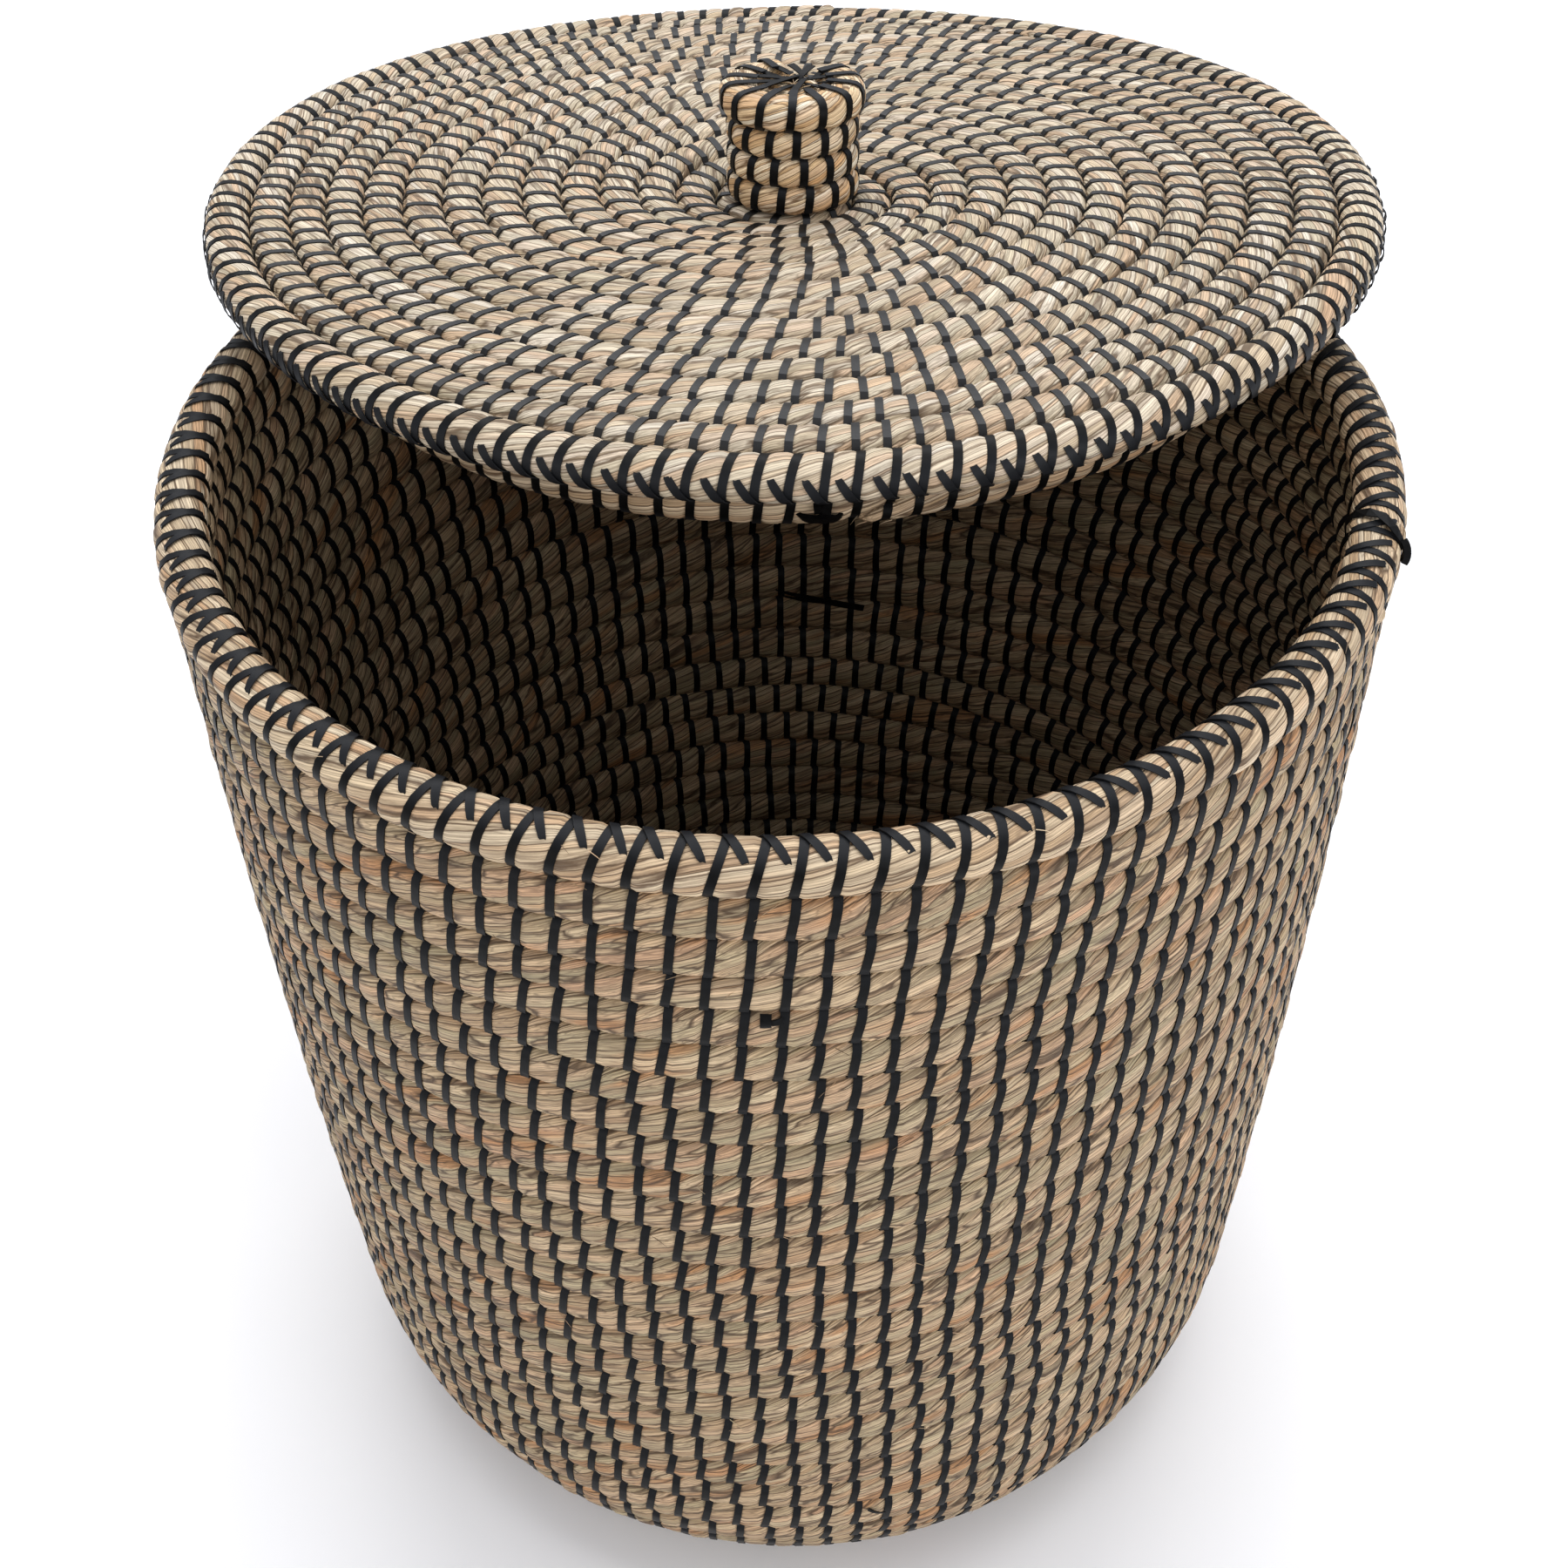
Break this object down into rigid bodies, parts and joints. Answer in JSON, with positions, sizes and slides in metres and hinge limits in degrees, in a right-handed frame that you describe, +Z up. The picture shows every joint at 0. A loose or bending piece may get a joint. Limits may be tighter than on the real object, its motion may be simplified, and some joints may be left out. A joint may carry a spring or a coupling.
{
  "type": "laundry basket",
  "caption": "Round coiled-grass laundry basket sewn with black strip, with a flat loose lid that has a knob and lies ajar on the rim.",
  "frame": {"origin": "centre of the basket's flat underside, on the surface that it stands on", "axes": "+Z up along the basket's axis; -Y is the front, where the pushed-back lid leaves the basket open; +X is to the right seen from the front"},
  "size_m": [0.4465, 0.557, 0.5293],
  "materials": {
    "seagrass": "matte",
    "seagrass_knob": "matte",
    "black_strip": "satin"
  },
  "bodies": {
    "basket": {"floor_coil": "seagrass", "wall_coil": "seagrass", "rim_coil": "seagrass"},
    "lid": {"lid_coil": "seagrass", "lid_rim_coil": "seagrass", "lid_seat_ring": "seagrass", "knob_coil": "seagrass_knob", "knob_cap": "seagrass_knob"}
  },
  "joints": [
    {"name": "lid_lift", "type": "slide", "parent": "basket", "child": "lid", "axis": [0, 0, 1], "range_m": [0, 0.3]}
  ]
}
